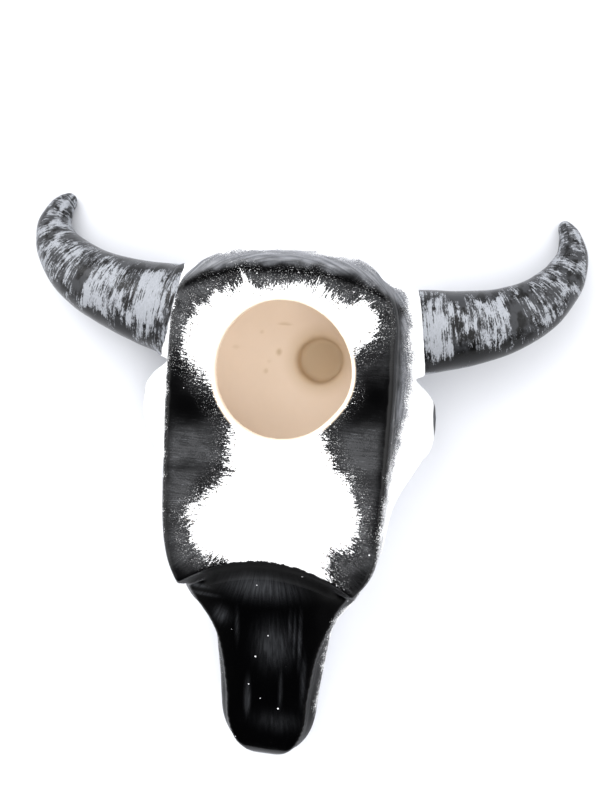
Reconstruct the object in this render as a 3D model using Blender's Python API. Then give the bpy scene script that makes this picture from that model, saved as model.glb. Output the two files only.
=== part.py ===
"""Slip-cast, hand-painted longhorn skull ornament, lying on its face with its flat back up.

Metres, +Z up, and the floor at z = 0. +Y runs from the nose to the poll, +X to the right horn.
The sizes below are in millimetres on the same axes, and MM turns them into metres.
"""

import math

import bmesh
import bpy
import numpy as np

MM = 0.001
GAP = 0.3

# Length of the casting, and the cut where a skull's braincase and muzzle are told apart
POLL_END = 96.5
NOSE_END = -119.5
MUZZLE_CUT = -50.0

# Flat back: a tilted plate whose height is given at one place
PLATE_Y = 49.6
PLATE_Z = 58.3
PLATE_TILT = math.radians(5)
PLATE_TOP = 87.0
PLATE_BOTTOM = -25.0
PLATE_TOP_BOW = 8.0
PLATE_BOTTOM_BOW = 11.0
LIP_LENGTH = 8.5
CREASE_DEPTH = 1.3
CREASE_WIDTH = 2.2
CREASE_PAST_EDGE = 1.2
CREST_FALL = 0.35
MUZZLE_CROWN = 3.0

# Pour hole, cut by hand through the plate, and the hollow behind it
WALL = 4.6
HOLE_X, HOLE_Y = 1.2, 49.0
HOLE_HALF_WIDTH, HOLE_HALF_LENGTH = 26.1, 26.6
CHAMBER_FLOOR = 14.0
CHAMBER_HALF_WIDTH = 40.0
CHAMBER_NOSE_END, CHAMBER_POLL_END = -19.0, 86.0
CHAMBER_POWER = 5.0
WELL_X, WELL_Y = 10.8, 54.0
WELL_RADIUS = 9.6
WELL_FLOOR = 5.5

# Eye sockets, the nose opening and the notch at each side of the nasal bones, sunk into the clay
SOCKET_AT = (60.5, 30.0, 15.5)
SOCKET_RADII = (9.5, 11.5, 10.0)
SOCKET_RIM = 2.6
SOCKET_RIM_INSET = 6.4
NOSE_OPENING_AT = (0.0, -94.0, -0.5)
NOSE_OPENING_RADII = (6.8, 14.0, 6.5)
NASAL_NOTCH_AT = (12.4, -76.0, 1.6)
NASAL_NOTCH_RADII = (2.6, 13.0, 4.2)

# Horns: (x, y, z, radius) along the middle of each, from the skull to the tip
HORN_RIGHT = (
    (52.9, 68.6, 22.0, 17.3),
    (66.0, 70.6, 22.0, 15.9),
    (79.6, 73.6, 21.0, 14.1),
    (92.0, 78.8, 19.4, 12.4),
    (101.9, 86.6, 16.8, 10.5),
    (108.7, 96.0, 13.2, 8.3),
    (111.4, 105.0, 9.4, 6.2),
    (110.6, 112.0, 6.2, 4.6),
    (108.6, 117.5, 2.5, 2.9),
)
HORN_LEFT = (
    (-53.0, 71.0, 22.5, 19.3),
    (-64.0, 73.0, 22.3, 17.6),
    (-76.0, 76.2, 21.4, 15.8),
    (-90.0, 81.4, 19.4, 14.1),
    (-101.0, 88.6, 16.8, 12.0),
    (-109.2, 97.6, 13.0, 9.2),
    (-112.2, 106.0, 9.2, 7.1),
    (-111.0, 112.6, 6.4, 5.5),
    (-108.4, 117.8, 3.2, 3.6),
)
HORN_TIP_LENGTH = 2.6
HORN_TIP_ROUND = 4.0
COLLAR_STEP = 1.5
COLLAR_FLARE = 5.0
COLLAR_LENGTH = 17.0

# Powers of the superellipses that a cross-section is made of, and of what blends them
PLATE_POWER = 8.0
FACE_POWER = 4.0
BODY_POWER = 2.5
BLEND_POWER = 24.0
FACE_SHARE = 0.86
BODY_UP = 23.0
BODY_SHARE_UP = 0.62

# How finely each piece is made
CRANIUM_SECTIONS = 58
MUZZLE_SECTIONS = 26
RING_POINTS = 48
HORN_RINGS = 30
HORN_SIDES = 26


def eased(*knots):
    """A smooth curve through (y, value) knots that never swings past them; flat outside them."""
    y, value = np.array(sorted(knots), float).T
    step = np.diff(value) / np.diff(y)
    slope = np.zeros(len(y))
    same = step[1:] * step[:-1] > 0
    slope[1:-1][same] = 2 / (1 / step[1:][same] + 1 / step[:-1][same])
    slope[0], slope[-1] = step[0], step[-1]

    def curve(at):
        at = np.clip(at, y[0], y[-1])
        i = np.clip(np.searchsorted(y, at) - 1, 0, len(y) - 2)
        width = y[i + 1] - y[i]
        t = (at - y[i]) / width
        start = (2 * t**3 - 3 * t**2 + 1) * value[i] + (t**3 - 2 * t**2 + t) * width * slope[i]
        end = (3 * t**2 - 2 * t**3) * value[i + 1] + (t**3 - t**2) * width * slope[i + 1]
        return start + end

    return curve


def smooth_step(t):
    t = np.clip(t, 0, 1)
    return t * t * (3 - 2 * t)


def rounding(along, start, end, power):
    """1 up to `start`, then falling to 0 at `end` like the side of a superellipse."""
    t = np.clip((along - start) / (end - start), 0, 1)
    return (1 - t**power) ** (1 / power)


# Half width of the plate's edge, and of the body at its widest level, along the skull
plate_half_width = eased(
    (-90, 18), (-75, 20), (-64, 22.4), (-58, 25), (-53.5, 28), (-50, 31), (-46, 33.8), (-40, 36.8),
    (-35, 39.4), (-29, 41.8), (-20, 43.8), (-5, 45), (40, 45.6), (62, 45),
)
body_half_width = eased(
    (-95, 20.9), (-85, 21.7), (-73, 23.2), (-64, 24.3), (-58, 25.4), (-53.5, 28.2), (-50, 31.4),
    (-46, 34.6), (-40, 37.4), (-34, 39.4), (-25, 41.6), (-8, 44.8), (1, 48.2), (11.5, 54), (21, 58.6),
    (30, 60.6), (38, 60.4), (44, 57), (49, 51.5), (54, 48.5), (66, 46.5),
)
# Height of the widest level, of the face on the floor side, and of the muzzle's back
middle_height = eased(
    (-119, 10), (-100, 15), (-80, 17), (-60, 20), (-45, 22.5), (-25, 24.5), (0, 26), (96, 26),
)
face_height = eased(
    (-118, 1), (-108, -0.4), (-99, -0.4), (-86, 2.2), (-60, 4.2), (-30, 4), (0, 2.2), (25, -0.3),
    (62, -0.5), (80, 1.5),
)
muzzle_back = eased(
    (-119, 18), (-110, 21), (-100, 24), (-85, 27.5), (-70, 31.5), (-58, 35.2), (-50, 38), (-42, 40.5),
    (-32, 42.5), (-22, 45),
)


def plate_height(y):
    return PLATE_Z + (y - PLATE_Y) * math.tan(PLATE_TILT)


def back_height(x, y):
    """The highest that the back reaches: flat plate, crease and crest at the poll, muzzle below the lip."""
    past_edge = y - (PLATE_TOP - PLATE_TOP_BOW * np.abs(x / 38) ** 2.6)
    crease = CREASE_DEPTH * np.exp(-(((past_edge - CREASE_PAST_EDGE) / CREASE_WIDTH) ** 2))
    plate = plate_height(y) - crease - CREST_FALL * np.clip(past_edge, 0, None)
    lip_edge = PLATE_BOTTOM - PLATE_BOTTOM_BOW * (x / 34) ** 2
    below_lip = smooth_step((lip_edge - y) / LIP_LENGTH)
    muzzle = muzzle_back(y) - MUZZLE_CROWN * (x / 26) ** 2
    return plate + (np.minimum(muzzle, plate) - plate) * below_lip


def superellipse_reach(across, along, half_width, half_height, power):
    """How far a superellipse reaches from its middle in the direction (across, along)."""
    return ((across / half_width) ** power + (along / half_height) ** power) ** (-1 / power)


def section(y, angles):
    """One cross-section of the casting at y, as rows of x and z at the given angles round its middle."""
    width_end = rounding(y, 62, POLL_END, 2.5) * rounding(-y, 92, -NOSE_END, 2.3)
    up_end = rounding(y, 82, POLL_END, 2.4) * rounding(-y, 104, -NOSE_END, 2.0)
    down_end = rounding(y, 60, POLL_END, 2.2) * rounding(-y, 108, -NOSE_END, 2.0)
    middle = middle_height(y)
    plate_width = plate_half_width(y) * width_end
    body_width = body_half_width(y) * width_end
    up = (plate_height(y) - middle) * up_end
    down = (middle - face_height(y)) * down_end
    body_up = min(BODY_SHARE_UP * up, BODY_UP)
    across, along = np.abs(np.cos(angles)), np.abs(np.sin(angles))
    plate_side = superellipse_reach(across, along, plate_width, up, PLATE_POWER)
    body_back = superellipse_reach(across, along, body_width, body_up, BODY_POWER)
    face_side = superellipse_reach(across, along, FACE_SHARE * plate_width, down, FACE_POWER)
    body_face = superellipse_reach(across, along, body_width, down, BODY_POWER)
    on_back = np.sin(angles) >= 0
    first = np.where(on_back, plate_side, face_side)
    second = np.where(on_back, body_back, body_face)
    reach = (first**BLEND_POWER + second**BLEND_POWER) ** (1 / BLEND_POWER)
    x = reach * np.cos(angles)
    z = middle + reach * np.sin(angles)
    ceiling = middle + (back_height(x, y) - middle) * up_end
    z = np.where(on_back, np.minimum(z, ceiling), z)
    return np.column_stack([x, np.maximum(z, 0)])


def crowded(start, end, count, places):
    """`count` values from start to end, closer together round each (place, spread, extra)."""
    fine = np.linspace(start, end, 2881)
    density = np.ones_like(fine)
    for place, spread, extra in places:
        density += extra * np.exp(-(((fine - place) / spread) ** 2))
    total = np.concatenate([[0], np.cumsum((density[1:] + density[:-1]) / 2)])
    return np.interp(np.linspace(0, total[-1], count), total, fine)


def ring_angles(count):
    """Angles round a section, closer together at the plate's two corners."""
    corner, spread = math.radians(36), math.radians(10)
    places = ((corner, spread, 1.8), (math.pi - corner, spread, 1.8))
    return crowded(-math.pi / 2, 3 * math.pi / 2, count + 1, places)[:-1]


def loft(name, rings, material=None, closed=False):
    """A closed mesh through rings of points: each end shut by a fan, or the last joined to the first."""
    mesh = bmesh.new()
    rows = [[mesh.verts.new([c * MM for c in point]) for point in ring] for ring in rings]
    count = len(rows[0])
    nexts = rows[1:] + (rows[:1] if closed else [])
    for low, high in zip(rows, nexts):
        for i in range(count):
            j = (i + 1) % count
            mesh.faces.new((low[i], low[j], high[j], high[i]))
    ends = () if closed else (rows[0], rows[-1])
    for row in ends:
        hub = mesh.verts.new(sum((v.co for v in row), row[0].co * 0) / count)
        for i in range(count):
            mesh.faces.new((row[i], row[(i + 1) % count], hub))
    bmesh.ops.triangulate(mesh, faces=mesh.faces[:])
    bmesh.ops.recalc_face_normals(mesh, faces=mesh.faces[:])
    data = bpy.data.meshes.new(name)
    mesh.to_mesh(data)
    mesh.free()
    data.polygons.foreach_set("use_smooth", [True] * len(data.polygons))
    obj = bpy.data.objects.new(name, data)
    bpy.context.scene.collection.objects.link(obj)
    if material:
        data.materials.append(material)
    return obj


def painted_clay(name, colour, roughness):
    material = bpy.data.materials.new(name)
    material.use_nodes = True
    shader = material.node_tree.nodes["Principled BSDF"]
    shader.inputs["Base Color"].default_value = (*colour, 1)
    shader.inputs["Roughness"].default_value = roughness
    shader.inputs["Metallic"].default_value = 0
    return material


def boolean(target, other, operation):
    """Joins or cuts another closed mesh, which then goes, so that each node is one plain mesh."""
    modifier = target.modifiers.new(operation.lower(), "BOOLEAN")
    modifier.operation = operation
    modifier.solver = "EXACT"
    modifier.object = other
    bpy.context.view_layer.update()
    evaluated = target.evaluated_get(bpy.context.evaluated_depsgraph_get())
    joined = bpy.data.meshes.new_from_object(evaluated)
    target.modifiers.clear()
    target.data = joined
    bpy.data.objects.remove(other)


def ring_about(centre, axis, radius, count, side=(0.0, 0.0, 1.0)):
    """Points of a circle round `axis`."""
    axis = np.array(axis) / np.linalg.norm(axis)
    across = np.cross(axis, side)
    across /= np.linalg.norm(across)
    up = np.cross(across, axis)
    turn = np.arange(count) / count * 2 * math.pi
    return np.array(centre) + radius * (np.outer(np.cos(turn), across) + np.outer(np.sin(turn), up))


def ellipsoid(name, centre, radii, rings=12, sides=20):
    """A closed ball with three radii, used as a cutter."""
    tilt = (np.arange(rings) + 0.5) / rings * math.pi
    turn = np.arange(sides) / sides * 2 * math.pi
    shape = [
        np.array(centre)
        + np.array(radii) * np.column_stack([
            np.sin(t) * np.cos(turn), np.sin(t) * np.sin(turn), np.full(sides, math.cos(t))
        ])
        for t in tilt
    ]
    return loft(name, shape)


def casting(name, stations, material):
    """A length of the skull's body, lofted through its cross-sections."""
    angles = ring_angles(RING_POINTS)
    rings = []
    for y in stations:
        x_z = section(y, angles)
        rings.append(np.column_stack([x_z[:, 0], np.full(len(x_z), y), x_z[:, 1]]))
    return loft(name, rings, material)


def horn_rings(knots, count, sides):
    """Rings square to a horn's middle line, from its base to its rounded tip."""
    knots = np.array(knots)
    along = np.concatenate([[0], np.cumsum(np.linalg.norm(np.diff(knots[:, :3], axis=0), axis=1))])
    x, y, z, radius = (eased(*zip(along, knots[:, i])) for i in range(4))
    end = along[-1] + HORN_TIP_LENGTH
    places = crowded(0, end - 0.15, count, ((end, 7.0, 2.5),))
    rings = []
    for at in places:
        inside = min(at, along[-1])
        here = np.array([x(inside), y(inside), z(inside)])
        ahead = np.array([f(min(inside + 0.5, along[-1])) for f in (x, y, z)])
        behind = np.array([f(max(inside - 0.5, 0)) for f in (x, y, z)])
        axis = (ahead - behind) / np.linalg.norm(ahead - behind)
        here = here + axis * max(at - along[-1], 0)
        size = radius(inside) * rounding(at, end - HORN_TIP_ROUND, end, 2.0)
        ring = ring_about(here, axis, size, sides)
        ring[:, 2] = np.maximum(ring[:, 2], 0)
        rings.append(ring)
    return rings


def horn_base(knots):
    """The middle, direction and radius of a horn where it leaves the skull."""
    first, second = np.array(knots[0]), np.array(knots[1])
    axis = (second - first)[:3]
    return first[:3], axis / np.linalg.norm(axis), first[3]


def collar(knots):
    """The raised boss that a horn grows from, flared into the skull's side."""
    centre, axis, radius = horn_base(knots)
    rings = []
    for share in (1.0, 0.8, 0.55, 0.25, 0.0):
        size = radius + COLLAR_STEP + COLLAR_FLARE * (1 - share) ** 1.7
        place = centre - axis * (GAP + COLLAR_LENGTH * (1 - share))
        ring = ring_about(place, axis, size, HORN_SIDES + 2)
        ring[:, 2] = np.clip(ring[:, 2], 1.5, None)
        rings.append(ring)
    return loft("collar", rings)


def socket_rim(side):
    """The raised bony rim round an eye socket."""
    x, y, z = SOCKET_AT
    rings = []
    sides, turns = 10, 28
    for turn in np.arange(turns) / turns * 2 * math.pi:
        out = np.array([0.35 * math.sin(turn), math.cos(turn), math.sin(turn)])
        middle = np.array([x - SOCKET_RIM_INSET, y, z]) + out * (np.array(SOCKET_RADII) + 0.4)
        rings.append([
            (side * p[0], p[1], p[2])
            for p in (
                middle + SOCKET_RIM * (math.cos(t) * out + math.sin(t) * np.array([1.4, 0, 0]))
                for t in np.arange(sides) / sides * 2 * math.pi
            )
        ])
    return loft("socket_rim", rings, closed=True)


def chamber():
    """The hollow behind the plate, as slip casting leaves it: the outside's shape, softened."""
    rings = []
    sides = 28
    turn = np.arange(sides) / sides * 2 * math.pi
    y_middle = (CHAMBER_NOSE_END + CHAMBER_POLL_END) / 2
    half_length = (CHAMBER_POLL_END - CHAMBER_NOSE_END) / 2
    for t in np.sin(np.linspace(-1, 1, 20) * math.radians(84)):
        y = y_middle + half_length * t
        end = (1 - abs(t) ** CHAMBER_POWER) ** (1 / CHAMBER_POWER)
        top = plate_height(y) - WALL
        middle, half = (top + CHAMBER_FLOOR) / 2, (top - CHAMBER_FLOOR) / 2
        width = min(CHAMBER_HALF_WIDTH, plate_half_width(y) - WALL - 1) * end
        c, s = np.cos(turn), np.sin(turn)
        reach = superellipse_reach(np.abs(c), np.abs(s), width, half, CHAMBER_POWER)
        x, z = reach * c, reach * s * (0.25 + 0.75 * end)
        rings.append(np.column_stack([x, np.full(sides, y), middle + z]))
    return loft("chamber", rings)


def pour_hole():
    """The hand-cut hole: nearly round, a little flat towards the right and the nose."""
    sides = 48
    turn = np.arange(sides) / sides * 2 * math.pi
    flat_side = 0.035 * np.exp(-(((turn - math.radians(318)) / 0.35) ** 2))
    cut = 1 - flat_side + 0.008 * np.cos(3 * turn + 0.6)
    x = HOLE_X + HOLE_HALF_WIDTH * np.cos(turn) * cut
    y = HOLE_Y + HOLE_HALF_LENGTH * np.sin(turn) * cut
    rings = []
    for height in (-14.0, 12.0):
        lean = height * math.tan(PLATE_TILT)
        rings.append(np.column_stack([x, y - lean, np.full(sides, PLATE_Z + height)]))
    return loft("pour_hole", rings)


def well():
    """The round pocket in the hollow's floor, with a soft lip."""
    rings = []
    for height, radius in (
        (WELL_FLOOR, WELL_RADIUS - 1.6),
        (WELL_FLOOR + 1.0, WELL_RADIUS - 0.5),
        (CHAMBER_FLOOR - 3.0, WELL_RADIUS),
        (CHAMBER_FLOOR - 1.0, WELL_RADIUS + 0.7),
        (CHAMBER_FLOOR + 0.6, WELL_RADIUS + 2.6),
        (CHAMBER_FLOOR + 4.0, WELL_RADIUS + 2.8),
    ):
        rings.append(ring_about((WELL_X, WELL_Y, height), (0, 0, 1), radius, 28, (0.0, 1.0, 0.0)))
    return loft("well", rings)


def cranium(material):
    crowds = ((POLL_END, 9.0, 3.2), (-36.0, 12.0, 0.7), (44.0, 8.0, 0.5))
    stations = crowded(MUZZLE_CUT + GAP / 2, POLL_END - 0.2, CRANIUM_SECTIONS, crowds)
    node = casting("cranium", stations, material)
    for knots in (HORN_RIGHT, HORN_LEFT):
        boolean(node, collar(knots), "UNION")
    for side in (1, -1):
        boolean(node, socket_rim(side), "UNION")
        x, y, z = SOCKET_AT
        boolean(node, ellipsoid("socket", (side * x, y, z), SOCKET_RADII), "DIFFERENCE")
    for cutter in (chamber(), pour_hole(), well()):
        boolean(node, cutter, "DIFFERENCE")


def muzzle(material):
    stations = crowded(NOSE_END + 0.2, MUZZLE_CUT - GAP / 2, MUZZLE_SECTIONS, ((NOSE_END, 9.0, 3.2),))
    node = casting("muzzle", stations, material)
    boolean(node, ellipsoid("nose_opening", NOSE_OPENING_AT, NOSE_OPENING_RADII), "DIFFERENCE")
    for side in (1, -1):
        x, y, z = NASAL_NOTCH_AT
        notch = ellipsoid("nasal_notch", (side * x, y, z), NASAL_NOTCH_RADII)
        boolean(node, notch, "DIFFERENCE")


def main():
    for obj in list(bpy.data.objects):
        bpy.data.objects.remove(obj)
    black_and_white = painted_clay("painted_clay", (0.05, 0.05, 0.05), 0.35)
    black = painted_clay("black_paint", (0.012, 0.012, 0.013), 0.2)
    grey = painted_clay("dry_brushed_grey", (0.3, 0.32, 0.34), 0.4)
    cranium(black_and_white)
    muzzle(black)
    loft("horn_right", horn_rings(HORN_RIGHT, HORN_RINGS, HORN_SIDES), grey)
    loft("horn_left", horn_rings(HORN_LEFT, HORN_RINGS, HORN_SIDES), grey)


main()
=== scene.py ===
import math

import bpy
import numpy as np
from mathutils import Matrix, Vector, noise


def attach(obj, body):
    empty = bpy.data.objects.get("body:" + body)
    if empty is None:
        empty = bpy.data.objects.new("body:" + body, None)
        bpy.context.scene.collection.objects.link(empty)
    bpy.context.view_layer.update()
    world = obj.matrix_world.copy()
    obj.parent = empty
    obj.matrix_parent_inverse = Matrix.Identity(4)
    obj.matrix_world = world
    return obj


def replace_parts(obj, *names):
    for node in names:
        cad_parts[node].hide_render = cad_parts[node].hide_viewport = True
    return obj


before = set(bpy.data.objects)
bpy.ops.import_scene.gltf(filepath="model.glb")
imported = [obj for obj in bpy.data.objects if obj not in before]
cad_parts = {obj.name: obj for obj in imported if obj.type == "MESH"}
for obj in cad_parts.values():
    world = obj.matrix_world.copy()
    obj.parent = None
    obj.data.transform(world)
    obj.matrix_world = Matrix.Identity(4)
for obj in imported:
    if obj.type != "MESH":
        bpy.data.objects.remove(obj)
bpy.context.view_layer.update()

# The casting: one slip-cast clay shell with a flat back, poured through a hole that is then cut
# clean. The back, the muzzle and both horns come out of one mould, and its seams are sponged off.
# Sizes are in millimetres, y from the nose to the poll and z up from the face that it lies on.
MM = 0.001
NOSE_END, POLL_END = -119.5, 96.5
PLATE_Y, PLATE_Z = 49.6, 58.3
PLATE_LEAN = math.tan(math.radians(5))
CREST_RISE = 1.3
PLATE_END, PLATE_END_BOW, PLATE_END_HALF = 87, 8, 38
LIP_Y, LIP_BOW, LIP_HALF, LIP_DROP = -25.0, 11.0, 34, 6.5
NECK_Y, NECK_REACH = -42.0, 11.0
PLATE_SKEW, CHEEK_SKEW = (7.5, 1.5), (3.0, -6.0)


def eased(*knots):
    """A smooth curve through (place, value) knots that never swings past them."""
    place, value = np.array(sorted(knots), float).T
    step = np.diff(value) / np.diff(place)
    slope = np.zeros(len(place))
    same = step[1:] * step[:-1] > 0
    slope[1:-1][same] = 2 / (1 / step[1:][same] + 1 / step[:-1][same])
    slope[0], slope[-1] = step[0], step[-1]

    def curve(at):
        at = np.clip(at, place[0], place[-1])
        i = np.clip(np.searchsorted(place, at) - 1, 0, len(place) - 2)
        width = place[i + 1] - place[i]
        t = (at - place[i]) / width
        start = (2 * t**3 - 3 * t**2 + 1) * value[i] + (t**3 - 2 * t**2 + t) * width * slope[i]
        end = (3 * t**2 - 2 * t**3) * value[i + 1] + (t**3 - t**2) * width * slope[i + 1]
        return start + end

    return curve


def soft_step(t):
    t = np.clip(t, 0, 1)
    return t * t * (3 - 2 * t)


def rounding(along, start, end, power):
    """1 up to start, then down to 0 at the end in a rounded corner."""
    t = np.clip((along - start) / (end - start), 0, 1)
    return (1 - t**power) ** (1 / power)


plate_half_width = eased(
    (-90, 18), (-75, 20), (-64, 22.4), (-58, 25), (-53.5, 28), (-50, 31), (-46, 33.8),
    (-40, 36.8), (-35, 39.4), (-29, 41.8), (-20, 43.8), (-5, 45), (40, 45.6), (62, 45),
)
cheek_half_width = eased(
    (-95, 20.9), (-85, 21.7), (-73, 23.2), (-64, 24.3), (-58, 25.4), (-53.5, 28.2), (-50, 31.4),
    (-46, 34.6), (-40, 37.4), (-34, 39.4), (-25, 41.6), (-8, 44.8), (1, 48.2), (11.5, 54),
    (21, 58.6), (30, 60.6), (38, 60.4), (44, 57), (49, 51.5), (54, 48.5), (66, 46.5),
)
middle_height = eased(
    (-119, 10), (-100, 15), (-80, 17), (-60, 20), (-45, 22.5), (-25, 24.5), (0, 26), (96, 26),
)
face_height = eased(
    (-118, 1), (-108, -0.4), (-99, -0.4), (-86, 2.2), (-60, 4.2), (-30, 4), (0, 2.2),
    (25, -0.3), (62, -0.5), (80, 1.5),
)
muzzle_back = eased(
    (-119, 18), (-110, 21), (-100, 24), (-85, 27.5), (-70, 31.5), (-58, 35.2), (-50, 38),
    (-42, 40.5), (-32, 42.5), (-22, 45),
)


def plate_height(y):
    return PLATE_Z + (y - PLATE_Y) * PLATE_LEAN


def past_plate(x, y):
    """How far a place is beyond the plate's bowed top edge, towards the poll."""
    return y - (PLATE_END - PLATE_END_BOW * np.abs(x / PLATE_END_HALF) ** 2.6)


def lip_edge(x):
    """Where the plate ends over the muzzle: further back towards the poll in the middle."""
    return LIP_Y - LIP_BOW * (x / LIP_HALF) ** 2


def back_height(x, y):
    """The flat plate with its rolled crest at the poll, and the muzzle below the plate's lip."""
    past_edge = past_plate(x, y)
    crest = CREST_RISE * soft_step((past_edge + 0.8) / 2.4)
    plate = plate_height(y) + crest - 0.3 * np.clip(past_edge - 2, 0, None)
    muzzle = muzzle_back(y) - 3 * (x / 26) ** 2
    return plate + (np.minimum(muzzle, plate) - plate) * soft_step((lip_edge(x) - y) / LIP_DROP)


def oval_reach(across, along, half_width, half_height, power):
    """How far out an oval goes in one direction: squarer for a higher power."""
    return ((across / half_width) ** power + (along / half_height) ** power) ** (-1 / power)


def body_ring(y, angles):
    """The casting's outline at one place along it: a flat-backed form and the cheeks round it.

    Each end is rounded off in width, on the back and on the face, from a place of its own.
    """
    width_end = rounding(y, 62, POLL_END, 2.5) * rounding(-y, 92, -NOSE_END, 2.3)
    up_end = rounding(y, 87.5, POLL_END, 2.1) * rounding(-y, 106, -NOSE_END, 3.2)
    down_end = rounding(y, 60, POLL_END, 2.2) * rounding(-y, 108, -NOSE_END, 2.0)
    middle = middle_height(y)
    at_neck = math.exp(-(((y - NECK_Y) / NECK_REACH) ** 2))
    plate_skew = np.where(np.cos(angles) > 0, *PLATE_SKEW) * at_neck
    cheek_skew = np.where(np.cos(angles) > 0, *CHEEK_SKEW) * at_neck
    plate_width = 0.975 * plate_half_width(y - plate_skew) * width_end
    cheek_width = cheek_half_width(y - cheek_skew) * width_end
    on_plate = soft_step((y + 56) / 13)
    top = muzzle_back(y) + 2 + (plate_height(y) + CREST_RISE - muzzle_back(y) - 2) * on_plate
    up = (top - middle) * up_end
    down = (middle - face_height(y)) * down_end
    across, along = np.abs(np.cos(angles)), np.abs(np.sin(angles))
    on_back = np.sin(angles) >= 0
    first = np.where(
        on_back,
        oval_reach(across, along, plate_width, up, 8 + 8 * on_plate**2),
        oval_reach(across, along, 0.86 * plate_width, down, 4),
    )
    second = np.where(
        on_back,
        oval_reach(across, along, cheek_width, min(0.62 * up, 23), 2.5),
        oval_reach(across, along, cheek_width, down, 2.5),
    )
    reach = (first**24 + second**24) ** (1 / 24)
    x = reach * np.cos(angles)
    z = middle + reach * np.sin(angles)
    ceiling = middle + (back_height(x, y) - middle) * up_end
    z = np.where(on_back, np.minimum(z, ceiling), z)
    return np.column_stack([x, np.full(len(x), y), np.maximum(z, 0)])


def crowded(start, end, count, places):
    """`count` values from start to end, closer together round each (place, spread, extra)."""
    fine = np.linspace(start, end, 2881)
    density = np.ones_like(fine)
    for place, spread, extra in places:
        density += extra * np.exp(-(((fine - place) / spread) ** 2))
    total = np.concatenate([[0], np.cumsum((density[1:] + density[:-1]) / 2)])
    return np.interp(np.linspace(0, total[-1], count), total, fine)


def vertex_places(mesh):
    places = np.empty(len(mesh.vertices) * 3, np.float32)
    mesh.vertices.foreach_get("co", places)
    return places.reshape(-1, 3) / MM


def signed_volume(mesh):
    """Below 0 where a closed mesh is inside out."""
    mesh.calc_loop_triangles()
    points = vertex_places(mesh)
    corners = np.empty(len(mesh.loop_triangles) * 3, np.int32)
    mesh.loop_triangles.foreach_get("vertices", corners)
    return np.linalg.det(points[corners.reshape(-1, 3)]).sum()


def shell(name, rings, closed=False):
    """A closed mesh through rings of points, its ends shut by fans or joined to each other."""
    rings = np.array(rings)
    rows, sides = rings.shape[:2]
    points = rings.reshape(-1, 3)
    low = np.arange(rows if closed else rows - 1)[:, None] * sides
    i = np.arange(sides)[None, :]
    j = (i + 1) % sides
    high = (low + sides) % (rows * sides)
    faces = np.stack([low + i, low + j, high + j, high + i], -1).reshape(-1, 4).tolist()
    if not closed:
        hubs = rings[[0, -1]].mean(axis=1)
        first, last = len(points), len(points) + 1
        points = np.vstack([points, hubs])
        end = (rows - 1) * sides
        for a in range(sides):
            b = (a + 1) % sides
            faces.append((b, a, first))
            faces.append((end + a, end + b, last))
    mesh = bpy.data.meshes.new(name)
    mesh.from_pydata((points * MM).tolist(), [], faces)
    obj = bpy.data.objects.new(name, mesh)
    bpy.context.scene.collection.objects.link(obj)
    if signed_volume(mesh) < 0:
        mesh.flip_normals()
    return obj


def settled(obj):
    """The object with its modifiers worked into its mesh."""
    bpy.context.view_layer.update()
    graph = bpy.context.evaluated_depsgraph_get()
    worked = bpy.data.meshes.new_from_object(obj.evaluated_get(graph))
    obj.modifiers.clear()
    obj.data = worked
    return obj


def work(obj, other, operation):
    """Luting on or cutting away another closed shape, which is then gone."""
    change = obj.modifiers.new("work", "BOOLEAN")
    change.operation = operation
    change.solver = "MANIFOLD"
    change.object = other
    settled(obj)
    bpy.data.objects.remove(other)


def ring_about(centre, axis, radius, sides, side=(0.0, 0.0, 1.0)):
    """Points evenly round an axis, in millimetres."""
    axis = np.array(axis) / np.linalg.norm(axis)
    across = np.cross(axis, side)
    across /= np.linalg.norm(across)
    up = np.cross(across, axis)
    turn = np.arange(sides) / sides * 2 * math.pi
    return np.array(centre) + radius * (np.outer(np.cos(turn), across) + np.outer(np.sin(turn), up))


def ball(centre, radii):
    """A closed ball of three radii, to cut a bowl with."""
    turn = np.arange(48) / 48 * 2 * math.pi
    rings = [
        np.array(centre) + np.array(radii) * np.column_stack(
            [np.sin(t) * np.cos(turn), np.sin(t) * np.sin(turn), np.full(48, math.cos(t))]
        )
        for t in (np.arange(30) + 0.5) / 30 * math.pi
    ]
    return shell("ball", rings)


# The rings crowd together at the plate's long corners, at both ends and under the lip
SIDES, STATIONS = 180, 230
corner = math.radians(36)
ring_angles = crowded(
    -math.pi / 2, 3 * math.pi / 2, SIDES + 1, ((corner, 0.17, 1.8), (math.pi - corner, 0.17, 1.8)),
)[:-1]
stations = crowded(
    NOSE_END + 0.1, POLL_END - 0.1, STATIONS,
    ((NOSE_END, 9, 3.2), (POLL_END, 9, 3.2), (-36, 12, 0.7)),
)
casting = shell("casting", [body_ring(y, ring_angles) for y in stations])

# A boss is flared into each side for its horn to grow from: (face, way that the horn goes, radius)
HORN_BOSSES = (
    ((52.9, 68.6, 22.0), (13.1, 2.0, 0.0), 17.3),
    ((-53.0, 71.0, 22.5), (-11.0, 2.0, -0.2), 19.3),
)
BOSS_GAP, BOSS_LENGTH, BOSS_SHOULDER, BOSS_FLARE = 0.3, 17, 0.9, 5.6
for centre, axis, radius in HORN_BOSSES:
    axis = np.array(axis) / np.linalg.norm(axis)
    rings = []
    for share in np.linspace(0, 1, 12):
        back = BOSS_GAP + BOSS_LENGTH * (1 - share)
        wide = radius + BOSS_SHOULDER + BOSS_FLARE * (1 - share) ** 1.7
        ring = ring_about(np.array(centre) - axis * back, axis, wide, 96)
        ring[:, 2] = np.clip(ring[:, 2], 1.5, None)
        rings.append(ring)
    work(casting, shell("boss", rings), "UNION")

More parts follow.
